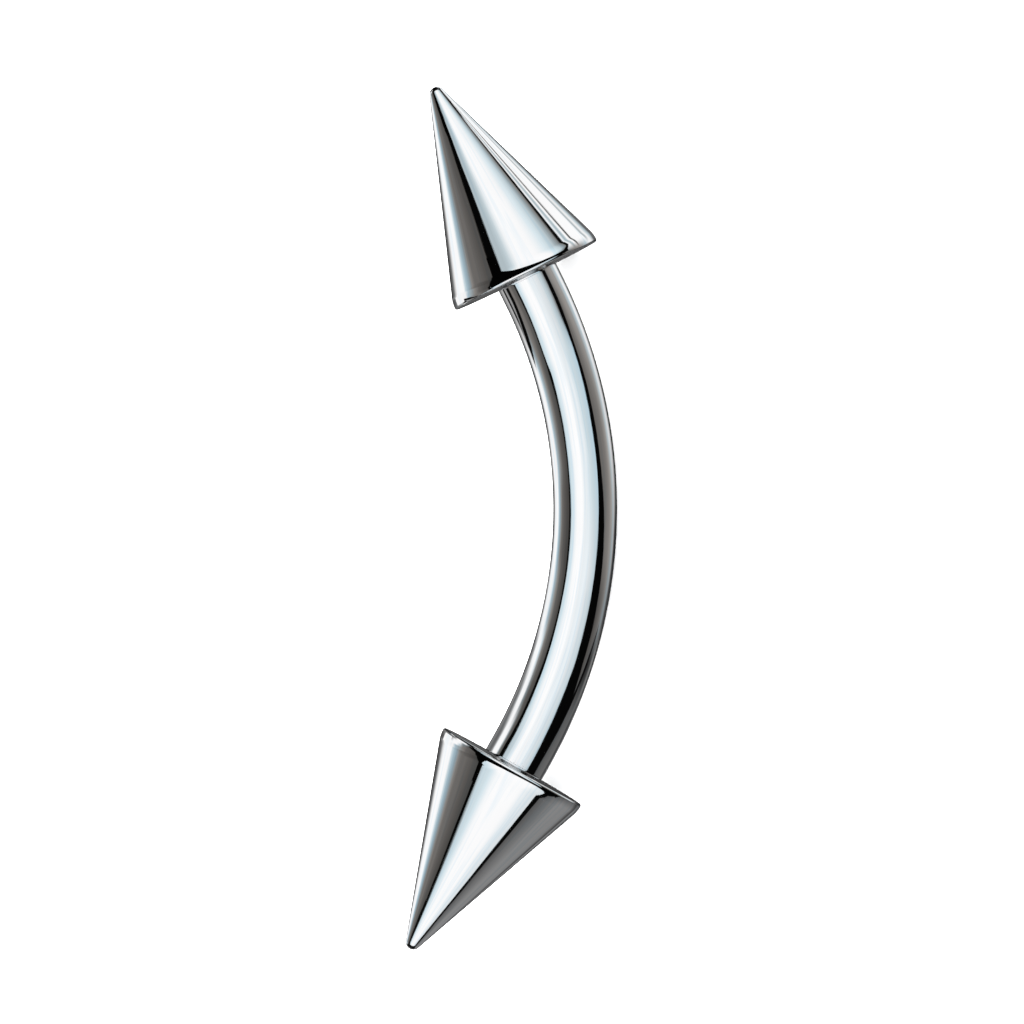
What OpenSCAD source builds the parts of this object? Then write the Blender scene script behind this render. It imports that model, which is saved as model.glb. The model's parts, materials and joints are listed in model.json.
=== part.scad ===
// Curved eyebrow barbell in polished white metal: one bent bar with a threaded
// post at each end, and a spike that screws onto each post. It lies as it rests
// by itself on a flat surface: on the rims of both spikes and on the middle of
// the bend, with both tips in the air. Z = 0 is that surface.

/* [Bar] */
// Diameter of the bar, 16 gauge
bar_d = 1.2; // [1:0.05:1.6]
// Radius of the bend, measured to the bar's centre line
bend_r = 9.2; // [7:0.1:12]
// Angle between the middle of the bend and each end, in degrees
bend_angle = 27.85; // [22:0.05:32]
// Straight stretch between the bend and each spike
end_straight = 0.32; // [0.1:0.02:0.8]

/* [Threaded posts] */
// Step from the bar down to the thread, which the spike seats against
shoulder = 0.1; // [0.06:0.01:0.16]
// Length of each post, from the shoulder to its end
post_len = 1.8; // [1.2:0.1:2]
// Chamfer round the end of each post
post_chamfer = 0.12; // [0.04:0.01:0.16]

/* [Spikes] */
// Diameter of the spike's base
spike_d = 2.96; // [2.6:0.02:3.6]
// Height of the spike, from its base to its tip
spike_h = 3.94; // [3.6:0.02:5]
// Radius of the rounded rim round the base
rim_r = 0.04; // [0.03:0.01:0.15]
// Radius of the gentler curve that leads from the rim into the flank
ease_r = 0.6; // [0.2:0.05:0.8]
// Radius of the rounded tip
tip_r = 0.15; // [0.08:0.01:0.25]

/* [Fits] */
// Clearance all round between a post and its socket
thread_clear = 0.03; // [0.01:0.005:0.05]
// Gap between the bar's shoulder and the spike's base
seat_gap = 0.02; // [0.01:0.005:0.05]
// Depth of the socket beyond the end of the post
socket_spare = 0.1; // [0.05:0.01:0.2]
// Countersink round the socket's mouth
mouth_chamfer = 0.03; // [0.01:0.005:0.05]

/* [Hidden] */
$fn = 96;
metal = [0.86, 0.87, 0.89];
// Half angle of the drill's point at the bottom of a socket
drill_half_angle = 59;
// Straight steps along each rounded edge of the spike's outline
arc_steps = 8;
// How far a bar end reaches into the bend, which makes them one solid
root_len = bar_d / 4;
// Degrees of bend beyond the middle, before each half is cut off square there
past_middle = 2;

// Bar as seen along Z, with X towards the outside of the bend, Y along the line
// between the two shoulders, and the origin halfway between them
bend_sin = sin(bend_angle);
bend_cos = cos(bend_angle);
sagitta = bend_r * (1 - bend_cos) + end_straight * bend_sin;
half_span = bend_r * bend_sin + end_straight * bend_cos;
post_r = bar_d / 2 - shoulder;
socket_r = post_r + thread_clear;
socket_len = post_len - seat_gap + socket_spare;

// Outline of a spike: the rim's circle meets the gentler one where the spike is
// widest, and the straight flank touches that one and the tip's at this angle
rim_centre = spike_d / 2 - rim_r;
ease_centre = spike_d / 2 - ease_r;
tip_centre = spike_h - tip_r;
flank_run = tip_centre - rim_r;
flank_angle = acos((tip_r - ease_r) / norm([ease_centre, flank_run])) - atan2(flank_run, ease_centre);

// Lean about Y that brings the bend's middle down to the level of the rims:
// reach * sin(lean) + rise = rim_centre * sqrt(1 - (bend_sin * sin(lean))^2)
reach = sagitta + (seat_gap + rim_r) * bend_sin;
rise = bar_d / 2 - rim_r;
spread = pow(reach, 2) + pow(rim_centre * bend_sin, 2);
lean_sin = (sqrt(pow(reach * rise, 2) + spread * (pow(rim_centre, 2) - pow(rise, 2))) - reach * rise) / spread;
lean = asin(lean_sin);
span_z = sagitta * lean_sin + bar_d / 2;

// Extents along X at rest, which centre the part over its own origin
axis_x = bend_sin * cos(lean);
across_x = sqrt(1 - pow(axis_x, 2));
rim_mid_x = -(seat_gap + rim_r) * axis_x;
tip_x = -(seat_gap + tip_centre) * axis_x;
low_x = min(tip_x - tip_r, rim_mid_x - ease_centre * across_x - ease_r);
high_x = max(sagitta * cos(lean) + bar_d / 2, rim_mid_x + rim_centre * across_x + rim_r);

function arc(centre, radius, from, to) =
    [for (step = [0:arc_steps]) let (turn = from + (to - from) * step / arc_steps)
        centre + radius * [cos(turn), sin(turn)]];

// Lays the flat drawing down as the part rests
module at_rest() {
    translate([-(low_x + high_x) / 2, 0, span_z]) rotate([0, lean, 0]) children();
}

// Puts its children on the upper shoulder, with Z out along the post
module on_shoulder() {
    translate([0, half_span, 0]) rotate([-90, 0, bend_angle]) children();
}

// Straight stretch and post at the end of the bend, turned as one piece with Z
// outwards, and rooted in the bend
module bar_end() {
    chamfer_start = end_straight + post_len - post_chamfer;
    rotate_extrude() polygon([
        [0, -root_len],
        [post_r, -root_len],
        [post_r, 0],
        [bar_d / 2, 0],
        [bar_d / 2, end_straight],
        [post_r, end_straight],
        [post_r, chamfer_start],
        [post_r - post_chamfer, chamfer_start + post_chamfer],
        [0, chamfer_start + post_chamfer]
    ]);
}

// The upper half of the bar, cut off square at the middle of the bend
module bar_half() {
    half_space = 4 * half_span;
    intersection() {
        translate([sagitta - bend_r, 0, 0]) rotate([0, 0, bend_angle]) union() {
            mirror([0, 1, 0]) rotate_extrude(angle = bend_angle + past_middle)
                translate([bend_r, 0]) circle(r = bar_d / 2);
            translate([bend_r, 0, 0]) rotate([-90, 0, 0]) bar_end();
        }
        translate([-half_space / 2, 0, -half_space / 2]) cube(half_space);
    }
}

module curved_bar() {
    color(metal) at_rest() union() {
        bar_half();
        mirror([0, 1, 0]) bar_half();
    }
}

// Cone with a rounded rim and tip
module spike_body() {
    rotate_extrude() polygon(concat(
        [[0, 0]],
        arc([rim_centre, rim_r], rim_r, -90, 0),
        arc([ease_centre, rim_r], ease_r, flank_angle / arc_steps, flank_angle),
        arc([0, tip_centre], tip_r, flank_angle, 90)
    ));
}

// Blind hole for the post, countersunk at its mouth and pointed as drilled
module socket() {
    rotate_extrude() polygon([
        [0, -mouth_chamfer],
        [socket_r + 2 * mouth_chamfer, -mouth_chamfer],
        [socket_r, mouth_chamfer],
        [socket_r, socket_len],
        [0, socket_len + socket_r / tan(drill_half_angle)]
    ]);
}

module spike() {
    on_shoulder() translate([0, 0, seat_gap]) difference() {
        spike_body();
        socket();
    }
}

module upper_spike() {
    color(metal) at_rest() spike();
}

module lower_spike() {
    color(metal) at_rest() mirror([0, 1, 0]) spike();
}

curved_bar();
upper_spike();
lower_spike();
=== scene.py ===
"""Curved eyebrow barbell: a bent polished bar, and a spike that screws onto each end of it."""

import json
import math
from collections import namedtuple

import bmesh
import bpy
import numpy as np
from mathutils import Matrix, Vector


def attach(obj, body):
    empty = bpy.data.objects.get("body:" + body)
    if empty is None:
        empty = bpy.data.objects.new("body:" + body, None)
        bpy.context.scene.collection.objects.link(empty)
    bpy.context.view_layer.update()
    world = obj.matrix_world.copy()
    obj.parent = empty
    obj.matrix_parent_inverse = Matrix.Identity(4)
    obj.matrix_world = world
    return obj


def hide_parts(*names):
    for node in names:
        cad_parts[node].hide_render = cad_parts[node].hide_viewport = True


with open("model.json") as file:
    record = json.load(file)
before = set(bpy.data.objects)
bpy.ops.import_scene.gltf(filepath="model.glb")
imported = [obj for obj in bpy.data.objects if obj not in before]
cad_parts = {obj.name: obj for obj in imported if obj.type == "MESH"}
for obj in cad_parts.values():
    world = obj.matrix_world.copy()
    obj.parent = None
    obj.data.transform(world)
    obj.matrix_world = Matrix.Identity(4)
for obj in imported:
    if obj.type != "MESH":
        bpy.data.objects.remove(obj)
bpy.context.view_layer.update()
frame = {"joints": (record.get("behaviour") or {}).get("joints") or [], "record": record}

# Sizes in millimetres, as the solids have them

MM = 0.001
BAR_DIAMETER = 1.2
BEND_RADIUS = 9.2
END_STRAIGHT = 0.32
POST_DIAMETER = 1.0
POST_LENGTH = 1.8
POST_CHAMFER = 0.12
SPIKE_DIAMETER = 2.96
SPIKE_HEIGHT = 3.94
RIM_RADIUS = 0.04
RIM_EASE = 0.6
TIP_RADIUS = 0.15
SEAT_GAP = 0.02
SOCKET_DIAMETER = 1.06
SOCKET_DEPTH = 1.88
MOUTH_CHAMFER = 0.03
DRILL_HALF_ANGLE = math.radians(59)

# Finer forms that only the looks need, in millimetres

END_BEVEL = 0.02
POST_ROOT = 0.05
THREAD_PITCH = 0.25
THREAD_DEPTH = 0.08
SOCKET_THREAD_DEPTH = 0.04

# The thread starts at the first of these heights above the shoulder, and is whole from the second on
THREAD_START = 0.06
THREAD_WHOLE = 0.2

# Share of half a pitch that is flat, on the thread's crest and in its groove alike
THREAD_FLAT = 0.12

# Where the solids lie: the bend's angle and the lean come from the way the upper spike unscrews

upper_axis = next(Vector(j["axis"]) for j in frame["joints"] if j["name"] == "upper_spike_off")
bar_middle = next(Vector(m["pos_m"]) for m in frame["record"]["mounts"] if m["name"] == "piercing_seat")
bend_angle = math.atan2(math.hypot(upper_axis.x, upper_axis.z), upper_axis.y)
lean = math.atan2(upper_axis.z, -upper_axis.x)

outward = Vector((math.cos(lean), 0, -math.sin(lean)))
lengthwise = Vector((0, 1, 0))
facing = outward.cross(lengthwise)

sagitta = BEND_RADIUS * (1 - math.cos(bend_angle)) + END_STRAIGHT * math.sin(bend_angle)
half_span = BEND_RADIUS * math.sin(bend_angle) + END_STRAIGHT * math.cos(bend_angle)
chord_middle = bar_middle - outward * sagitta * MM


def placed(origin, x_axis, z_axis):
    """Matrix that puts a form drawn in millimetres at origin, with its X and Z along these directions."""
    turn = Matrix((x_axis, z_axis.cross(x_axis), z_axis)).transposed().to_4x4()
    return Matrix.Translation(origin) @ turn @ Matrix.Scale(MM, 4)


def end_place(side, beyond_shoulder):
    """Place on the bar's upper end (side 1) or lower end (side -1), with Z out along the post."""
    z_axis = lengthwise * side * math.cos(bend_angle) - outward * math.sin(bend_angle)
    x_axis = outward * math.cos(bend_angle) + lengthwise * side * math.sin(bend_angle)
    shoulder = chord_middle + lengthwise * side * half_span * MM
    return placed(shoulder + z_axis * beyond_shoulder * MM, x_axis, z_axis)


def add_to_scene(name, data):
    piece = bpy.data.objects.new(name, data)
    bpy.context.scene.collection.objects.link(piece)
    return piece


# Camera, square on to the flat of the bend

PIXELS_PER_MM = 53.31
PICTURE_WIDTH = 1024
SENSOR_WIDTH = 36
CAMERA_DISTANCE = 155.0
CAMERA_ROLL = math.radians(1.605)
AIM_RIGHT = -0.153
AIM_UP = 0.166


def add_camera():
    right = outward * math.cos(CAMERA_ROLL) + lengthwise * math.sin(CAMERA_ROLL)
    up = facing.cross(right)
    aim = chord_middle + (right * AIM_RIGHT + up * AIM_UP) * MM
    data = bpy.data.cameras.new("camera")
    data.sensor_width = SENSOR_WIDTH
    data.lens = PIXELS_PER_MM * CAMERA_DISTANCE / PICTURE_WIDTH * SENSOR_WIDTH
    data.clip_start = 0.002
    data.clip_end = 5
    camera = add_to_scene("camera", data)
    camera.matrix_world = (
        Matrix.Translation(aim + facing * CAMERA_DISTANCE * MM)
        @ Matrix((right, up, facing)).transposed().to_4x4()
    )
    bpy.context.scene.camera = camera


add_camera()


# Node arithmetic, for shader trees and geometry trees alike

class Term:
    """A number, vector or colour in a node tree. Numbers take the usual signs of arithmetic."""

    def __init__(self, tree, socket):
        self.tree = tree
        self.socket = socket

    def calc(self, operation, *others):
        """What a math node makes of this number and the others."""
        node = node_of(self.tree, "ShaderNodeMath", operation=operation)
        for slot, value in zip(node.inputs, (self, *others)):
            feed(self.tree, slot, value)
        return Term(self.tree, node.outputs[0])

    def __add__(self, other):
        return self.calc("ADD", other)

    def __sub__(self, other):
        return self.calc("SUBTRACT", other)

    def __mul__(self, other):
        return self.calc("MULTIPLY", other)

    def __truediv__(self, other):
        return self.calc("DIVIDE", other)

    def __abs__(self):
        return self.calc("ABSOLUTE")

    def cosine(self):
        return self.calc("COSINE")

    def sine(self):
        return self.calc("SINE")

    def between(self, low, high):
        """The same number, but at least low and at most high."""
        return self.calc("MAXIMUM", low).calc("MINIMUM", high)

    def stretched(self, low, high):
        """A number that goes from low to high as this one goes from 0 to 1."""
        return self * (high - low) + low

    def rise(self, start, end):
        """0 up to start, 1 from end on, and smooth between them."""
        node = node_of(self.tree, "ShaderNodeMapRange", interpolation_type="SMOOTHSTEP")
        feed(self.tree, node.inputs["Value"], self)
        feed(self.tree, node.inputs["From Min"], start)
        feed(self.tree, node.inputs["From Max"], end)
        return Term(self.tree, node.outputs["Result"])


def feed(tree, slot, value):
    """Gives an input its value, which is a term of the same tree or a constant."""
    if isinstance(value, Term):
        tree.links.new(value.socket, slot)
    else:
        slot.default_value = value


def node_of(tree, kind, **settings):
    node = tree.nodes.new(kind)
    for name, value in settings.items():
        setattr(node, name, value)
    return node


def combined(tree, numbers):
    node = node_of(tree, "ShaderNodeCombineXYZ")
    for slot, value in zip(node.inputs, numbers):
        feed(tree, slot, value)
    return Term(tree, node.outputs[0])


def mixed(tree, factor, first, second):
    """Colour that goes from first to second as factor goes from 0 to 1."""
    node = node_of(tree, "ShaderNodeMix", data_type="RGBA")
    sockets = {socket.identifier: socket for socket in (*node.inputs, *node.outputs)}
    feed(tree, sockets["Factor_Float"], factor)
    feed(tree, sockets["A_Color"], first)
    feed(tree, sockets["B_Color"], second)
    return Term(tree, sockets["Result_Color"])


def ramp(tree, place, stops):
    """Colour that follows place, from 0 to 1, through the given (place, colour) stops."""
    node = node_of(tree, "ShaderNodeValToRGB")
    feed(tree, node.inputs["Fac"], place)
    elements = node.color_ramp.elements
    while len(elements) < len(stops):
        elements.new(0.5)
    for element, (position, colour) in zip(elements, stops):
        element.position = position
        element.color = colour
    return Term(tree, node.outputs["Color"])


# Geometry trees: each sets a flat unit grid round a form, whose sizes are in millimetres

# Points of a form that lie closer together than this are merged
MERGE_DISTANCE = 0.0005

# Share of the grid's length from its middle, beyond which only the first and the last ring lie
NEARLY_HALF = 0.4999

Form = namedtuple("Form", "tree around along inputs")


def start_form(name, sizes):
    """A tree with an input for each named size, on a grid whose X is the turn and Y the way along."""
    tree = bpy.data.node_groups.new(name, "GeometryNodeTree")
    tree.interface.new_socket("Geometry", in_out="OUTPUT", socket_type="NodeSocketGeometry")
    for size_name in sizes:
        tree.interface.new_socket(size_name, in_out="INPUT", socket_type="NodeSocketFloat")
    for count_name in ("Steps around", "Steps along"):
        tree.interface.new_socket(count_name, in_out="INPUT", socket_type="NodeSocketInt")
    tree.interface.new_socket("Material", in_out="INPUT", socket_type="NodeSocketMaterial")
    inputs = node_of(tree, "NodeGroupInput")
    place = node_of(tree, "GeometryNodeInputPosition")
    split = node_of(tree, "ShaderNodeSeparateXYZ")
    tree.links.new(place.outputs[0], split.inputs[0])
    around = (Term(tree, split.outputs["X"]) + 0.5) * math.tau
    along = Term(tree, split.outputs["Y"]) + 0.5
    return Form(tree, around, along, {o.name: Term(tree, o) for o in inputs.outputs if o.name})


def open_ring(form):
    """1 on every ring of the grid but the first and the last, which are 0 and so close its ends."""
    return abs(form.along - 0.5).calc("LESS_THAN", NEARLY_HALF)


def end_form(form, place, way):
    """Sets the grid to place, keeps the polish coordinates, and closes the seam and the poles."""
    tree = form.tree
    grid = node_of(tree, "GeometryNodeMeshGrid")
    store = node_of(tree, "GeometryNodeStoreNamedAttribute", data_type="FLOAT_VECTOR", domain="POINT")
    move = node_of(tree, "GeometryNodeSetPosition")
    merge = node_of(tree, "GeometryNodeMergeByDistance")
    smooth = node_of(tree, "GeometryNodeSetShadeSmooth")
    realize = node_of(tree, "GeometryNodeRealizeInstances")
    finish = node_of(tree, "GeometryNodeSetMaterial")
    output = node_of(tree, "NodeGroupOutput")
    chain = [grid, store, move, merge, smooth, realize, finish, output]
    for giver, taker in zip(chain, chain[1:]):
        tree.links.new(giver.outputs[0], taker.inputs[0])
    polish = combined(tree, (form.around.cosine(), form.around.sine(), way))
    feed(tree, grid.inputs["Vertices X"], form.inputs["Steps around"])
    feed(tree, grid.inputs["Vertices Y"], form.inputs["Steps along"])
    feed(tree, store.inputs["Name"], "polish")
    feed(tree, store.inputs["Value"], polish)
    feed(tree, move.inputs["Position"], combined(tree, place))
    feed(tree, merge.inputs["Distance"], MERGE_DISTANCE)
    feed(tree, finish.inputs["Material"], form.inputs["Material"])
    return tree


def bent_bar_tree():
    """A round bar along a bend with straight ends, whose end faces are flat and slightly bevelled."""
    form = start_form("bent_bar", ["Diameter", "Bend radius", "Bend angle", "Straight end", "End bevel"])
    radius = form.inputs["Diameter"] / 2
    bend_radius = form.inputs["Bend radius"]
    angle = form.inputs["Bend angle"]
    straight_end = form.inputs["Straight end"]
    bevel = form.inputs["End bevel"]
    bend_length = bend_radius * angle

    # The outermost rings turn over the bevel, and the very last one closes the end face
    end_share = 0.02
    bevel_share = 0.8
    from_middle = form.along * 2 - 1
    beyond = (abs(from_middle) - (1 - end_share)) / end_share
    turn = (beyond * (math.pi / 2 / bevel_share)).between(0, math.pi / 2)
    ring = (radius - bevel + bevel * turn.cosine()) * open_ring(form)
    inner = (from_middle / (1 - end_share)).between(-1, 1)
    way = inner * (bend_length + straight_end - bevel) + from_middle.calc("SIGN") * bevel * turn.sine()

    # The middle of the bar at that way along it, and the place on the ring round it
    on_bend = way.between(bend_length * -1, bend_length)
    swing = on_bend / bend_radius
    straight = way - on_bend
    bend_rise = bend_radius - bend_radius * angle.cosine() + straight_end * angle.sine()
    middle_x = bend_radius * swing.cosine() - bend_radius + bend_rise - straight * swing.sine()
    middle_y = bend_radius * swing.sine() + straight * swing.cosine()
    across = ring * form.around.cosine()
    above = ring * form.around.sine() * -1
    place = (middle_x + across * swing.cosine(), middle_y + across * swing.sine(), above)
    return end_form(form, place, way)


def threaded_post_tree():
    """A post with a screw thread, and with a plain neck at its root and a chamfer at its end."""
    form = start_form("threaded_post", ["Diameter", "Length", "Chamfer", "Pitch", "Thread depth", "Root"])
    crest = form.inputs["Diameter"] / 2
    length = form.inputs["Length"]
    root = form.inputs["Root"]
    height = form.along * (length + root) - root
    phase = (height / form.inputs["Pitch"] - form.around / math.tau).calc("FRACT")
    groove = ((abs(phase - 0.5) * 2 - THREAD_FLAT) / (1 - 2 * THREAD_FLAT)).between(0, 1)
    threaded = height.rise(THREAD_START, THREAD_WHOLE)
    neck = threaded * -1 + 1
    cut = crest - form.inputs["Thread depth"] * (groove * threaded + neck)
    chamfered = crest - (height - (length - form.inputs["Chamfer"])).calc("MAXIMUM", 0)
    ring = cut.calc("MINIMUM", chamfered) * open_ring(form)
    place = (ring * form.around.cosine(), ring * form.around.sine(), height)
    return end_form(form, place, height)


def grown(name, tree, sizes, counts, material, place):
    """Piece that a geometry tree makes with these sizes, as a plain mesh at its place."""
    piece = add_to_scene(name, bpy.data.meshes.new(name))
    modifier = piece.modifiers.new("form", "NODES")
    modifier.node_group = tree
    values = {**sizes, "Steps around": counts[0], "Steps along": counts[1], "Material": material}
    for item in tree.interface.items_tree:
        if item.in_out == "INPUT":
            modifier[item.identifier] = values[item.name]
    evaluated = piece.evaluated_get(bpy.context.evaluated_depsgraph_get())
    mesh = bpy.data.meshes.new_from_object(evaluated)
    piece.modifiers.remove(modifier)
    mesh.transform(place)
    mesh.name = name
    piece.data = mesh
    return piece


# Spikes: turned forms, with a threaded socket in the base

SPIKE_STEPS = 192
SOCKET_RINGS = 110


def arc(centre, radius, start, end, steps):
    turns = np.linspace(start, end, steps + 1)
    return [(centre[0] + radius * math.cos(t), centre[1] + radius * math.sin(t)) for t in turns]


def eased_line(start, end, steps):
    """Points from start to end, close together at both, so that the shading turns only at the arcs."""
    shares = (1 - np.cos(np.linspace(0, math.pi, steps + 1))) / 2
    return [(start[0] + (end[0] - start[0]) * s, start[1] + (end[1] - start[1]) * s) for s in shares]


def spike_outline():
    """Outline from the socket's mouth, out over the rim and up the flank to the tip."""
    ease_centre = (SPIKE_DIAMETER / 2 - RIM_EASE, RIM_RADIUS)
    rim_centre = (SPIKE_DIAMETER / 2 - RIM_RADIUS, RIM_RADIUS)
    tip_centre = (0, SPIKE_HEIGHT - TIP_RADIUS)
    run = (ease_centre[0], tip_centre[1] - ease_centre[1])
    flank_angle = math.acos((TIP_RADIUS - RIM_EASE) / math.hypot(*run)) - math.atan2(run[1], run[0])
    rim = arc(rim_centre, RIM_RADIUS, -math.pi / 2, 0, steps=10)
    ease = arc(ease_centre, RIM_EASE, 0, flank_angle, steps=14)
    tip = arc(tip_centre, TIP_RADIUS, flank_angle, math.pi / 2, steps=16)
    mouth = (SOCKET_DIAMETER / 2 + MOUTH_CHAMFER, 0)
    base = eased_line(mouth, rim[0], steps=8)
    flank = eased_line(ease[-1], tip[0], steps=28)
    return base[:-1] + rim + ease[1:] + flank[1:-1] + tip


def socket_wall(turns):
    """Rings of the socket from its bottom to its mouth, each as a radius for every turn and a height."""
    crest = SOCKET_DIAMETER / 2
    rings = [(np.zeros_like(turns), SOCKET_DEPTH + crest / math.tan(DRILL_HALF_ANGLE))]
    for height in np.linspace(SOCKET_DEPTH, MOUTH_CHAMFER, SOCKET_RINGS):
        phase = (height / THREAD_PITCH - turns / math.tau) % 1
        groove = np.clip((np.abs(phase - 0.5) * 2 - THREAD_FLAT) / (1 - 2 * THREAD_FLAT), 0, 1)
        fade = min(1, (SOCKET_DEPTH - height) / THREAD_PITCH)
        rings.append((crest + SOCKET_THREAD_DEPTH * groove * fade, height))
    return rings


def turned_spike(name, material, place):
    """Spike with its socket, turned from the socket's rings and the outline."""
    turns = np.arange(SPIKE_STEPS) * math.tau / SPIKE_STEPS
    rings = socket_wall(turns) + [(np.full(SPIKE_STEPS, r), height) for r, height in spike_outline()]
    points = []
    polish = []
    for radii, height in rings:
        points += [(r * math.cos(t), r * math.sin(t), height) for r, t in zip(radii, turns)]
        polish += [(math.cos(t), math.sin(t), height) for t in turns]
    faces = []
    for ring_start in range(0, SPIKE_STEPS * (len(rings) - 1), SPIKE_STEPS):
        for step in range(SPIKE_STEPS):
            here = ring_start + step
            beside = ring_start + (step + 1) % SPIKE_STEPS
            faces.append((here, beside, beside + SPIKE_STEPS, here + SPIKE_STEPS))
    mesh = bpy.data.meshes.new(name)
    mesh.from_pydata(points, [], faces)
    attribute = mesh.attributes.new("polish", "FLOAT_VECTOR", "POINT")
    attribute.data.foreach_set("vector", np.array(polish, np.float32).ravel())
    mesh.materials.append(material)
    close_up(mesh)
    mesh.transform(place)
    return add_to_scene(name, mesh)


def close_up(mesh):
    """Merges the doubled points at the poles and points every face outwards."""
    work = bmesh.new()
    work.from_mesh(mesh)
    bmesh.ops.remove_doubles(work, verts=work.verts, dist=MERGE_DISTANCE)
    bmesh.ops.recalc_face_normals(work, faces=work.faces)
    for face in work.faces:
        face.smooth = True
    work.to_mesh(mesh)
    work.free()


# Materials

POLISH_DIM = (0.90, 0.90, 0.905, 1)
POLISH_BRIGHT = (0.95, 0.95, 0.955, 1)
POLISH_STREAK = (0.83, 0.88, 0.915, 1)
POLISH_ROUGHNESS = (0.01, 0.04)
CUT_DIM = (0.72, 0.72, 0.73, 1)
CUT_BRIGHT = (0.86, 0.86, 0.87, 1)
CUT_ROUGHNESS = (0.18, 0.33)

# Depth of the polishing lines, in metres
LINE_DEPTH = 3e-7


def polish_place(tree, across, along):
    """The polish coordinates, stretched so that noise read there runs in lines along or round the piece."""
    attribute = node_of(tree, "ShaderNodeAttribute", attribute_name="polish")
    mapping = node_of(tree, "ShaderNodeMapping")
    feed(tree, mapping.inputs["Scale"], (across, across, along))
    feed(tree, mapping.inputs["Vector"], Term(tree, attribute.outputs["Vector"]))
    return Term(tree, mapping.outputs["Vector"])


def noise(tree, place, scale, detail):
    node = node_of(tree, "ShaderNodeTexNoise")
    feed(tree, node.inputs["Scale"], scale)
    feed(tree, node.inputs["Detail"], detail)
    feed(tree, node.inputs["Vector"], place)
    return Term(tree, node.outputs["Fac"])


def bare_metal(name):
    """Material of plain metal, its tree, and the shader in it."""
    material = bpy.data.materials.new(name)
    material.use_nodes = True
    shader = material.node_tree.nodes["Principled BSDF"]
    shader.inputs["Metallic"].default_value = 1
    return material, material.node_tree, shader


def polished_metal(name):
    """Mirror polish with faint streaks, and fine polishing lines along the piece."""
    material, tree, shader = bare_metal(name)
    lines = noise(tree, polish_place(tree, across=1, along=0.02), scale=46, detail=4)
    cloud = noise(tree, polish_place(tree, across=1, along=1), scale=1.4, detail=3)
    streaks = noise(tree, polish_place(tree, across=1, along=0.03), scale=16, detail=4)
    tint = mixed(tree, cloud, POLISH_DIM, POLISH_BRIGHT)
    tint = mixed(tree, streaks.rise(start=0.48, end=0.65), tint, POLISH_STREAK)
    bump = node_of(tree, "ShaderNodeBump")
    feed(tree, bump.inputs["Strength"], 1)
    feed(tree, bump.inputs["Distance"], LINE_DEPTH)
    feed(tree, bump.inputs["Height"], lines)
    feed(tree, shader.inputs["Base Color"], tint)
    feed(tree, shader.inputs["Roughness"], lines.stretched(*POLISH_ROUGHNESS))
    feed(tree, shader.inputs["Normal"], Term(tree, bump.outputs["Normal"]))
    return material


def cut_metal(name):
    """Bright, slightly satin metal, with the fine lines that cutting leaves round the piece."""
    material, tree, shader = bare_metal(name)
    lines = noise(tree, polish_place(tree, across=0.1, along=1), scale=60, detail=3)
    feed(tree, shader.inputs["Base Color"], mixed(tree, lines, CUT_DIM, CUT_BRIGHT))
    feed(tree, shader.inputs["Roughness"], lines.stretched(*CUT_ROUGHNESS))
    return material


# The pieces, each with its steps around and along it

BAR_STEPS = (129, 401)
POST_STEPS = (73, 121)


def add_bar(material):
    sizes = {
        "Diameter": BAR_DIAMETER,
        "Bend radius": BEND_RADIUS,
        "Bend angle": bend_angle,
        "Straight end": END_STRAIGHT,
        "End bevel": END_BEVEL,
    }
    place = placed(chord_middle, outward, facing)
    bar = grown("bar_sweep", bent_bar_tree(), sizes, BAR_STEPS, material, place)
    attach(bar, "bar")
    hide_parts("curved_bar")


def add_ends(spike_material, thread_material):
    sizes = {
        "Diameter": POST_DIAMETER,
        "Length": POST_LENGTH,
        "Chamfer": POST_CHAMFER,
        "Pitch": THREAD_PITCH,
        "Thread depth": THREAD_DEPTH,
        "Root": POST_ROOT,
    }
    tree = threaded_post_tree()
    for end_name, side in (("upper", 1), ("lower", -1)):
        post_place = end_place(side, 0)
        post = grown(f"{end_name}_post_thread", tree, sizes, POST_STEPS, thread_material, post_place)
        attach(post, "bar")
        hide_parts("curved_bar")
        spike = turned_spike(f"{end_name}_spike_turned", spike_material, end_place(side, SEAT_GAP))
        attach(spike, f"{end_name}_end")
        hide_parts(f"{end_name}_spike")


add_bar(polished_metal("polished_bar_metal"))
add_ends(polished_metal("polished_spike_metal"), cut_metal("cut_thread_metal"))


# Studio that the metal reflects, laid out round the camera's direction

# On each side of the lens comes a bright window, then a black flag, and then walls, with thin black rods in
# front of them. All brightnesses are those that the metal shows on screen, and each has one of these tints.

PLAIN = (1.0, 1.0, 1.0)
PALE = (0.91, 0.97, 1.0)
COOL = (0.80, 0.94, 1.0)
DEEP = (0.70, 0.93, 1.06)
WARM = (1.06, 1.0, 0.94)

# Windows, as (place, brightness, tint), where a place is a share of the way from the lens to the flag

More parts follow.
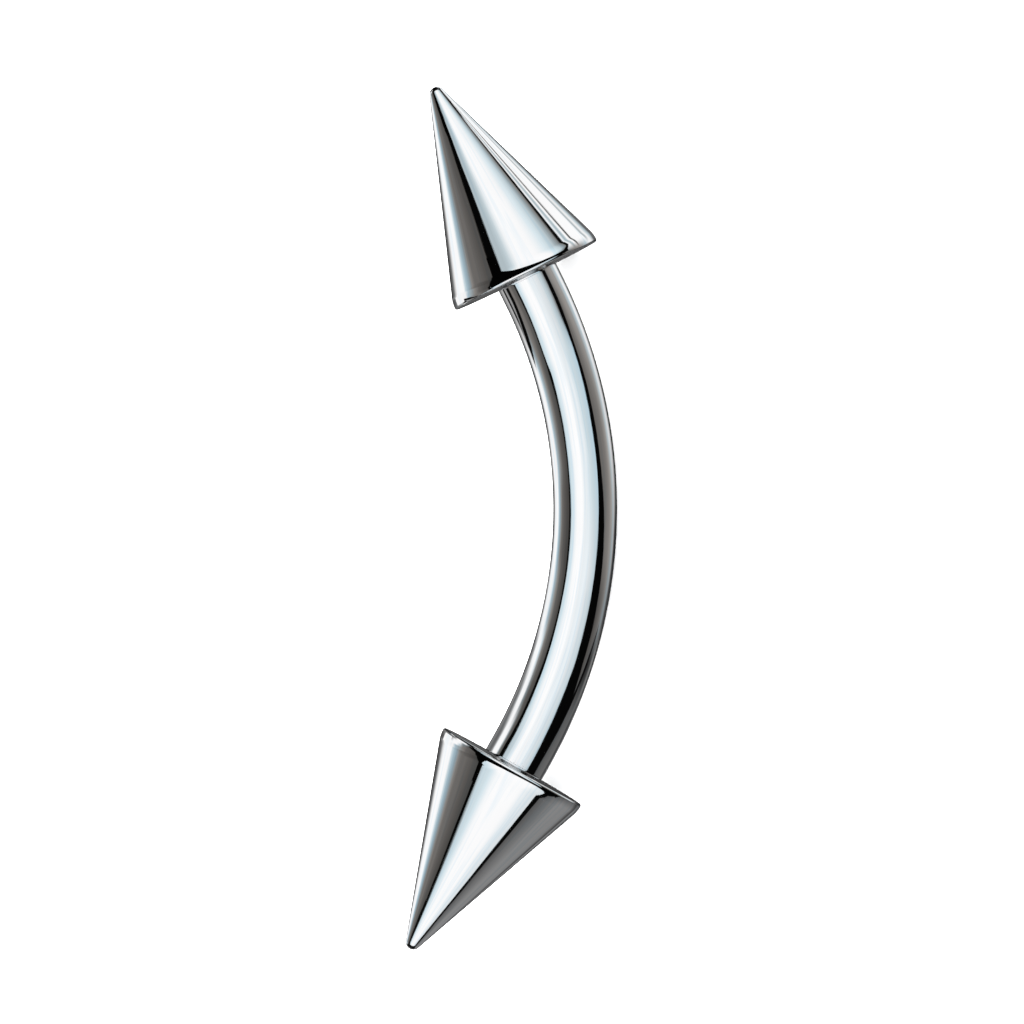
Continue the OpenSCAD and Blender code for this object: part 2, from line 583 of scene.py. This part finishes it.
LEFT_WINDOW = [
    (0.0, 0.945, PALE), (0.2, 0.995, PLAIN), (0.55, 0.985, PLAIN), (0.7, 0.955, PALE), (0.85, 0.92, COOL),
    (1.0, 0.87, COOL)]
UPPER_LEFT_WINDOW = [
    (0.0, 0.945, PALE), (0.4, 0.97, PLAIN), (0.62, 0.87, COOL), (0.8, 0.76, COOL), (1.0, 0.76, COOL)]
UPPER_WINDOW = [
    (0.0, 0.945, PALE), (0.35, 0.97, PLAIN), (0.57, 0.985, PLAIN), (1.0, 0.95, PLAIN)]
UPPER_RIGHT_WINDOW = [
    (0.0, 0.945, PALE), (0.5, 0.99, PLAIN), (0.65, 0.97, PLAIN), (0.78, 0.92, COOL), (0.88, 0.82, COOL),
    (0.94, 0.66, COOL), (1.0, 0.46, WARM)]
HIGH_RIGHT_WINDOW = [
    (0.0, 0.945, PALE), (0.5, 0.88, PALE), (0.7, 0.83, COOL), (0.86, 0.74, COOL), (1.0, 0.45, PLAIN)]
RIGHT_WINDOW = [
    (0.0, 0.945, PALE), (0.25, 0.945, PALE), (0.5, 0.88, COOL), (0.62, 0.86, COOL), (1.0, 0.83, DEEP)]
LOW_RIGHT_WINDOW = [
    (0.0, 0.945, PALE), (0.3, 0.96, PALE), (0.6, 0.89, PALE), (0.9, 0.85, COOL), (1.0, 0.78, COOL)]
LOWER_RIGHT_WINDOW = [
    (0.0, 0.96, PLAIN), (0.3, 0.99, PLAIN), (0.65, 0.98, PLAIN), (0.8, 0.93, PALE), (1.0, 0.88, PALE)]

# Walls, as (place, brightness, tint), where a place is the sine of the tilt at which a surface reflects it

LEFT_WALL = [
    (0.50, 0.26, WARM), (0.57, 0.29, WARM), (0.66, 0.36, WARM), (0.71, 0.42, WARM), (0.74, 0.52, WARM),
    (0.775, 0.67, DEEP), (0.80, 0.76, DEEP), (0.82, 0.86, COOL), (0.84, 0.98, PLAIN)]
BAR_LEFT_WALL = [
    (0.50, 0.27, WARM), (0.57, 0.32, WARM), (0.64, 0.38, WARM), (0.70, 0.52, WARM), (0.75, 0.67, COOL),
    (0.785, 0.76, DEEP), (0.82, 0.95, PLAIN)]
EARLY_OUTLINE = [(0.91, 0.98, PLAIN), (0.93, 0.82, PLAIN), (0.95, 0.45, PLAIN), (0.98, 0.30, PLAIN)]
MIDDLE_OUTLINE = [(0.92, 0.98, PLAIN), (0.94, 0.80, PLAIN), (0.96, 0.42, PLAIN), (0.985, 0.25, PLAIN)]
LATE_OUTLINE = [(0.93, 0.98, PLAIN), (0.955, 0.60, PLAIN), (0.985, 0.40, PLAIN)]
LEFT_WALL_LOW_END = [
    (0.50, 0.33, WARM), (0.60, 0.38, WARM), (0.64, 0.45, WARM), (0.69, 0.44, WARM), (0.815, 0.60, PLAIN),
    (0.835, 0.03, PLAIN), (0.865, 0.03, PLAIN), (0.885, 0.74, PLAIN), (0.945, 0.52, PLAIN),
    (0.98, 0.36, PLAIN)]
LEFT_WALL_HIGH = [
    (0.52, 0.28, WARM), (0.62, 0.34, WARM), (0.69, 0.55, COOL), (0.73, 0.97, PLAIN), (0.82, 0.97, PLAIN),
    (0.86, 0.60, PLAIN), (0.90, 0.43, PLAIN), (0.92, 0.39, PLAIN), (0.95, 0.55, PLAIN),
    (0.98, 0.35, PLAIN)]
LEFT_WALL_HIGH_END = [
    (0.50, 0.28, WARM), (0.59, 0.38, WARM), (0.63, 0.65, COOL), (0.66, 0.98, PLAIN), (0.775, 0.98, PLAIN),
    (0.81, 0.62, PLAIN), (0.84, 0.43, PLAIN), (0.88, 0.39, PLAIN), (0.94, 0.47, PLAIN)]
LEFT_WALL_RISING = [
    (0.52, 0.30, WARM), (0.62, 0.37, WARM), (0.69, 0.50, WARM), (0.74, 0.85, COOL), (0.77, 0.98, PLAIN),
    (0.87, 0.98, PLAIN), (0.91, 0.62, PLAIN), (0.95, 0.40, PLAIN), (0.98, 0.30, PLAIN)]
WALL_BELOW = [(0.84, 0.33, PLAIN), (0.97, 0.40, PLAIN)]
LOWER_RIGHT_WALL = [
    (0.60, 0.34, PLAIN), (0.66, 0.42, PLAIN), (0.70, 0.45, PLAIN), (0.78, 0.515, PLAIN),
    (0.91, 0.50, PLAIN), (0.95, 0.24, PLAIN), (0.965, 0.50, PLAIN), (0.985, 0.30, PLAIN)]
LOWEST_RIGHT_WALL = [
    (0.74, 0.33, PLAIN), (0.80, 0.36, PLAIN), (0.90, 0.38, PLAIN), (0.94, 0.22, PLAIN), (0.99, 0.41, PLAIN)]
DIM_RIGHT_WALL = [
    (0.70, 0.31, WARM), (0.76, 0.34, PLAIN), (0.82, 0.15, PLAIN), (0.88, 0.24, PLAIN), (0.93, 0.50, PLAIN),
    (0.96, 0.22, PLAIN)]
LOW_RIGHT_WALL = [
    (0.68, 0.30, WARM), (0.78, 0.40, WARM), (0.84, 0.50, PLAIN), (0.87, 0.57, COOL), (0.90, 0.47, PLAIN),
    (0.93, 0.25, PLAIN), (0.97, 0.22, PLAIN)]
RIGHT_WALL = [
    (0.60, 0.40, WARM), (0.75, 0.49, WARM), (0.83, 0.59, WARM), (0.87, 0.69, COOL), (0.90, 0.65, PLAIN),
    (0.92, 0.36, PLAIN), (0.945, 0.16, PLAIN)]
HIGH_RIGHT_WALL = [
    (0.55, 0.39, WARM), (0.70, 0.45, WARM), (0.75, 0.51, WARM), (0.80, 0.59, WARM), (0.85, 0.77, COOL),
    (0.91, 0.89, PLAIN), (0.935, 0.72, PLAIN), (0.96, 0.20, PLAIN)]
HIGHER_RIGHT_WALL = [
    (0.57, 0.40, WARM), (0.69, 0.54, WARM), (0.77, 0.59, WARM), (0.85, 0.80, COOL), (0.90, 0.96, PLAIN),
    (0.935, 0.90, PLAIN), (0.965, 0.40, PLAIN), (0.985, 0.25, PLAIN)]
UPPER_RIGHT_WALL = [
    (0.677, 0.98, PLAIN), (0.688, 0.92, PLAIN), (0.704, 0.74, COOL), (0.718, 0.80, COOL),
    (0.73, 0.98, PLAIN), (0.747, 0.97, PLAIN), (0.755, 0.22, PLAIN), (0.765, 0.22, PLAIN),
    (0.774, 0.98, PLAIN), (0.875, 0.985, PLAIN), (0.89, 0.68, COOL), (0.915, 0.96, PLAIN),
    (0.945, 0.82, COOL), (0.97, 0.38, PLAIN)]
WALL_ABOVE = [(0.62, 0.03, PLAIN), (1.0, 0.03, PLAIN)]

LEFT_SIDE = LEFT_WALL + MIDDLE_OUTLINE
BAR_LEFT_EARLY = BAR_LEFT_WALL + EARLY_OUTLINE
BAR_LEFT_MIDDLE = BAR_LEFT_WALL + MIDDLE_OUTLINE
BAR_LEFT_LATE = BAR_LEFT_WALL + LATE_OUTLINE

# What stands where, by its angle round the camera's direction: 0 is right, 90 is up

WINDOWS = [
    (-180, LEFT_WINDOW), (-150, LEFT_WINDOW), (-118, LOWER_RIGHT_WINDOW), (-48, LOWER_RIGHT_WINDOW),
    (-28, LOW_RIGHT_WINDOW), (-8, LOW_RIGHT_WINDOW), (6, RIGHT_WINDOW), (20, RIGHT_WINDOW),
    (27, HIGH_RIGHT_WINDOW), (46, UPPER_RIGHT_WINDOW), (62, UPPER_RIGHT_WINDOW), (118, UPPER_WINDOW),
    (140, UPPER_LEFT_WINDOW), (150, UPPER_LEFT_WINDOW), (162, LEFT_WINDOW), (180, LEFT_WINDOW)]
WALLS = [
    (-180, LEFT_SIDE), (-177, LEFT_SIDE), (-173, BAR_LEFT_LATE), (-168, BAR_LEFT_EARLY),
    (-163, BAR_LEFT_EARLY), (-155, LEFT_WALL_LOW_END), (-118, WALL_BELOW), (-65, LOWER_RIGHT_WALL),
    (-48, LOWER_RIGHT_WALL), (-25, LOWEST_RIGHT_WALL), (-17, DIM_RIGHT_WALL), (-11, LOW_RIGHT_WALL),
    (-2, RIGHT_WALL), (12, HIGH_RIGHT_WALL), (27, HIGHER_RIGHT_WALL), (46, UPPER_RIGHT_WALL),
    (62, UPPER_RIGHT_WALL), (118, WALL_ABOVE), (154, LEFT_WALL_HIGH_END), (159, LEFT_WALL_HIGH),
    (165, LEFT_WALL_RISING), (169, BAR_LEFT_MIDDLE), (173, BAR_LEFT_LATE), (177, LEFT_SIDE),
    (180, LEFT_SIDE)]

# Where the flags start and end, as sines of tilt by the same angle

FLAG_START = [
    (-180, 0.44), (-174, 0.452), (-163, 0.447), (-161, 0.487), (-158, 0.47), (-154, 0.452), (-150, 0.45),
    (-118, 0.76), (-65, 0.528), (-45, 0.528), (-26, 0.43), (-22, 0.42), (-17, 0.433), (-12, 0.417),
    (12, 0.417), (20, 0.445), (26, 0.445), (46, 0.638), (62, 0.638), (118, 0.62), (145, 0.50),
    (151, 0.437), (155, 0.43), (163, 0.447), (168, 0.451), (174, 0.436), (180, 0.44)]
FLAG_END = [
    (-180, 0.495), (-174, 0.497), (-166, 0.50), (-163, 0.52), (-158, 0.515), (-150, 0.50), (-118, 0.84),
    (-65, 0.588), (-45, 0.588), (-26, 0.724), (-22, 0.74), (-17, 0.675), (-12, 0.666), (-6, 0.64),
    (0, 0.60), (6, 0.551), (12, 0.532), (22, 0.526), (26, 0.564), (46, 0.672), (62, 0.672), (118, 1.0),
    (155, 0.53), (163, 0.518), (174, 0.495), (180, 0.495)]

# Rods slant outwards on the right and on the left. Their places and half widths are sines of tilt too.

ROD_PLACE = [
    (-164, 0.87), (-160, 0.83), (-152, 0.70), (-30, 0.66), (-26, 0.69), (-22, 0.735), (-17, 0.79),
    (-12, 0.84)]
ROD_HALF_WIDTH = [
    (-162, 0.0), (-159, 0.055), (-152, 0.045), (-145, 0.0), (-40, 0.0), (-30, 0.04), (-26, 0.04),
    (-17, 0.035), (-14, 0.02), (-11, 0.0)]

# Half the soft edge of a flag, as a sine of tilt
SOFT_EDGE = 0.005
FLAG_BRIGHTNESS = 0.02
ROD_BRIGHTNESS = 0.03

# Share of light that the polished metal reflects
REFLECTANCE = 0.925

# Light that falls on the floor from all round, and the white that the camera sees beyond it
DOME_LIGHT = (4.0, 4.0, 4.0, 1)
WHITE_GROUND = (1.0, 1.0, 1.0, 1)


def light(brightness, tint=PLAIN):
    """Linear light that a polished piece shows at this brightness on screen, by the usual screen curve."""
    level = ((brightness + 0.055) / 1.055) ** 2.4 / REFLECTANCE
    return (level * tint[0], level * tint[1], level * tint[2], 1)


def banded(tree, place, bands):
    """Colour ramp with a stop for each band: where it is, how bright, and its tint."""
    return ramp(tree, place, [(position, light(brightness, tint)) for position, brightness, tint in bands])


def turn_share(angle):
    """Share of the full turn from -180 to 180 degrees."""
    return angle / 360 + 0.5


def edge_curve(tree, turn, places):
    """Number that follows the turn round the studio, through the given (angle, value) places."""
    stops = [(turn_share(angle), (value, value, value, 1)) for angle, value in places]
    return ramp(tree, turn_share(turn), stops)


def all_round(tree, turn, place, sides):
    """Bands that go over from each side's to the next side's as the turn round the studio goes on."""
    seen = banded(tree, place, sides[0][1])
    for (before, old), (angle, new) in zip(sides, sides[1:]):
        if new != old:
            seen = mixed(tree, turn.rise(before, angle), seen, banded(tree, place, new))
    return seen


def dotted(tree, vector, direction):
    node = node_of(tree, "ShaderNodeVectorMath", operation="DOT_PRODUCT")
    feed(tree, node.inputs[0], vector)
    feed(tree, node.inputs[1], direction)
    return Term(tree, node.outputs["Value"])


def add_studio():
    world = bpy.data.worlds.new("studio")
    bpy.context.scene.world = world
    world.use_nodes = True
    world.cycles.sampling_method = "NONE"
    tree = world.node_tree
    looking = Term(tree, node_of(tree, "ShaderNodeTexCoord").outputs["Generated"])
    toward = dotted(tree, looking, facing)
    right = dotted(tree, looking, outward)
    up = dotted(tree, looking, lengthwise)
    tilt = ((toward * -1 + 1) / 2).calc("MAXIMUM", 0).calc("SQRT")
    turn = up.calc("ARCTAN2", right).calc("DEGREES")

    flag_start = edge_curve(tree, turn, FLAG_START)
    flag_end = edge_curve(tree, turn, FLAG_END)
    window = all_round(tree, turn, tilt / flag_start, WINDOWS)
    walls = all_round(tree, turn, tilt, WALLS)
    off_rod = abs(tilt - edge_curve(tree, turn, ROD_PLACE))
    rod = (edge_curve(tree, turn, ROD_HALF_WIDTH) - off_rod).rise(0, 2 * SOFT_EDGE)
    walls = mixed(tree, rod, walls, light(ROD_BRIGHTNESS))
    flag_middle = (flag_start + flag_end) / 2
    seen = mixed(tree, (tilt - flag_middle).rise(-SOFT_EDGE, SOFT_EDGE), window, walls)
    flag = (tilt - flag_start).rise(-SOFT_EDGE, SOFT_EDGE) * (flag_end - tilt).rise(-SOFT_EDGE, SOFT_EDGE)
    seen = mixed(tree, flag, seen, light(FLAG_BRIGHTNESS))

    rays = node_of(tree, "ShaderNodeLightPath")
    seen = mixed(tree, Term(tree, rays.outputs["Is Diffuse Ray"]), seen, DOME_LIGHT)
    seen = mixed(tree, Term(tree, rays.outputs["Is Camera Ray"]), seen, WHITE_GROUND)
    feed(tree, tree.nodes["Background"].inputs["Color"], seen)


def plain_piece(name, corners, faces, shader_kind, colour):
    """Piece of the studio, with one shader of one colour."""
    mesh = bpy.data.meshes.new(name)
    mesh.from_pydata(corners, [], faces)
    material = bpy.data.materials.new(name)
    material.use_nodes = True
    tree = material.node_tree
    tree.nodes.remove(tree.nodes["Principled BSDF"])
    shader = node_of(tree, shader_kind)
    shader.inputs["Color"].default_value = colour
    tree.links.new(shader.outputs[0], tree.nodes["Material Output"].inputs["Surface"])
    mesh.materials.append(material)
    return add_to_scene(name, mesh)


# Floor: matte and pale, and left out of what the metal reflects

FLOOR_REACH = 4.0
FLOOR_COLOUR = (0.92, 0.92, 0.92, 1)


def add_floor():
    corners = [(x * FLOOR_REACH, y * FLOOR_REACH, 0) for x, y in ((-1, -1), (1, -1), (1, 1), (-1, 1))]
    floor = plain_piece("floor", corners, [(0, 1, 2, 3)], "ShaderNodeBsdfDiffuse", FLOOR_COLOUR)
    floor.visible_glossy = False


# Cards close to the spikes, seen only as reflections

CARD_DISTANCE = 8.0
CARD_COLUMNS = 60
CARD_ROWS = 4

# Each outline goes by the tilt of the metal to the side, and gives the least and the greatest tilt along
# the spike's axis at which the metal there reflects the card. All are sines.

UPPER_RIM_CARD = [
    (-0.50, 0.014, 0.12), (-0.45, 0.014, 0.20), (-0.42, 0.014, 0.30), (-0.41, 0.016, 0.38),
    (-0.30, 0.02, 0.38), (-0.26, 0.02, 0.345), (-0.22, 0.018, 0.30), (-0.15, 0.016, 0.24),
    (-0.05, 0.015, 0.19), (0.10, 0.013, 0.14), (0.27, 0.013, 0.10), (0.45, 0.013, 0.085),
    (0.58, 0.013, 0.10), (0.64, 0.015, 0.12)]
LOWER_RIM_CARD = [
    (-0.64, 0.013, 0.05), (-0.47, 0.013, 0.13), (-0.42, 0.013, 0.28), (-0.41, 0.013, 0.38),
    (-0.375, 0.013, 0.38), (-0.365, 0.013, 0.15), (-0.10, 0.013, 0.115), (0.20, 0.013, 0.09),
    (0.40, 0.013, 0.08), (0.50, 0.013, 0.10), (0.56, 0.013, 0.14), (0.62, 0.013, 0.05)]
CORNER_CARD = [
    (-0.945, 0.06, 0.10), (-0.93, 0.06, 0.20), (-0.91, 0.06, 0.28), (-0.89, 0.06, 0.345),
    (-0.85, 0.06, 0.345), (-0.82, 0.26, 0.345), (-0.80, 0.33, 0.345)]
UPPER_TIP_CARD = [
    (-0.44, 0.355, 0.65), (-0.40, 0.31, 0.65), (-0.27, 0.31, 0.68), (-0.22, 0.355, 0.68),
    (-0.15, 0.48, 0.68), (0.0, 0.52, 0.68), (0.3, 0.50, 0.68), (0.48, 0.42, 0.65), (0.53, 0.355, 0.65),
    (0.57, 0.31, 0.62), (0.62, 0.31, 0.60), (0.67, 0.355, 0.56)]
LOWER_TIP_CARD = [
    (-0.46, 0.355, 0.65), (-0.41, 0.31, 0.70), (-0.36, 0.31, 0.78), (-0.32, 0.355, 0.78),
    (-0.20, 0.46, 0.78), (0.0, 0.50, 0.78), (0.25, 0.46, 0.78), (0.38, 0.355, 0.78), (0.42, 0.31, 0.75),
    (0.48, 0.31, 0.70), (0.52, 0.355, 0.60)]

# Spots on a spike that the cards are for, each as its height, its radius, and its tilt to the side

RIM_FRONT = (RIM_RADIUS, SPIKE_DIAMETER / 2, 0.0)
RIM_LEFT = (RIM_RADIUS, SPIKE_DIAMETER / 2, -0.9)
TIP_FRONT = (SPIKE_HEIGHT - TIP_RADIUS, TIP_RADIUS, 0.0)

# Each card's name, its end of the bar, the spot that it is for, its brightness and its outline

CARDS = [
    ("upper_rim_card", 1, RIM_FRONT, 0.0, UPPER_RIM_CARD),
    ("lower_rim_card", -1, RIM_FRONT, 0.0, LOWER_RIM_CARD),
    ("upper_corner_card", 1, RIM_LEFT, 0.97, CORNER_CARD),
    ("lower_corner_card", -1, RIM_LEFT, 0.97, CORNER_CARD),
    ("upper_tip_card", 1, TIP_FRONT, 0.0, UPPER_TIP_CARD),
    ("lower_tip_card", -1, TIP_FRONT, 0.05, LOWER_TIP_CARD),
]


def add_card(name, side, spot, brightness, outline):
    """Card that the metal round a spot on a spike reflects where its tilts fall in the outline."""
    height, radius, spot_tilt = spot
    place = end_place(side, SEAT_GAP + height)
    axis = place.col[2].xyz.normalized()
    side_way = place.col[0].xyz.normalized()
    out = side_way * spot_tilt + facing * math.sqrt(1 - spot_tilt ** 2)
    centre = place.translation + out * radius * MM

    side_tilts, least_tilts, greatest_tilts = zip(*outline)
    corners = []
    for side_tilt in np.linspace(side_tilts[0], side_tilts[-1], CARD_COLUMNS + 1):
        least = np.interp(side_tilt, side_tilts, least_tilts)
        greatest = np.interp(side_tilt, side_tilts, greatest_tilts)
        for axis_tilt in np.linspace(least, greatest, CARD_ROWS + 1):
            leaning = side_way * side_tilt + axis * axis_tilt
            normal = leaning + facing * math.sqrt(1 - leaning.length_squared)
            reflected = normal * 2 * normal.dot(facing) - facing
            corners.append(centre + reflected * CARD_DISTANCE * MM)
    faces = []
    for column in range(CARD_COLUMNS):
        for row in range(CARD_ROWS):
            here = column * (CARD_ROWS + 1) + row
            beside = here + CARD_ROWS + 1
            faces.append((here, here + 1, beside + 1, beside))

    card = plain_piece(name, corners, faces, "ShaderNodeEmission", light(brightness))
    card.active_material.cycles.emission_sampling = "NONE"
    card.visible_camera = False
    card.visible_diffuse = False
    card.visible_shadow = False


for card_values in CARDS:
    add_card(*card_values)
add_studio()
add_floor()
bpy.context.scene.view_settings.view_transform = "Standard"
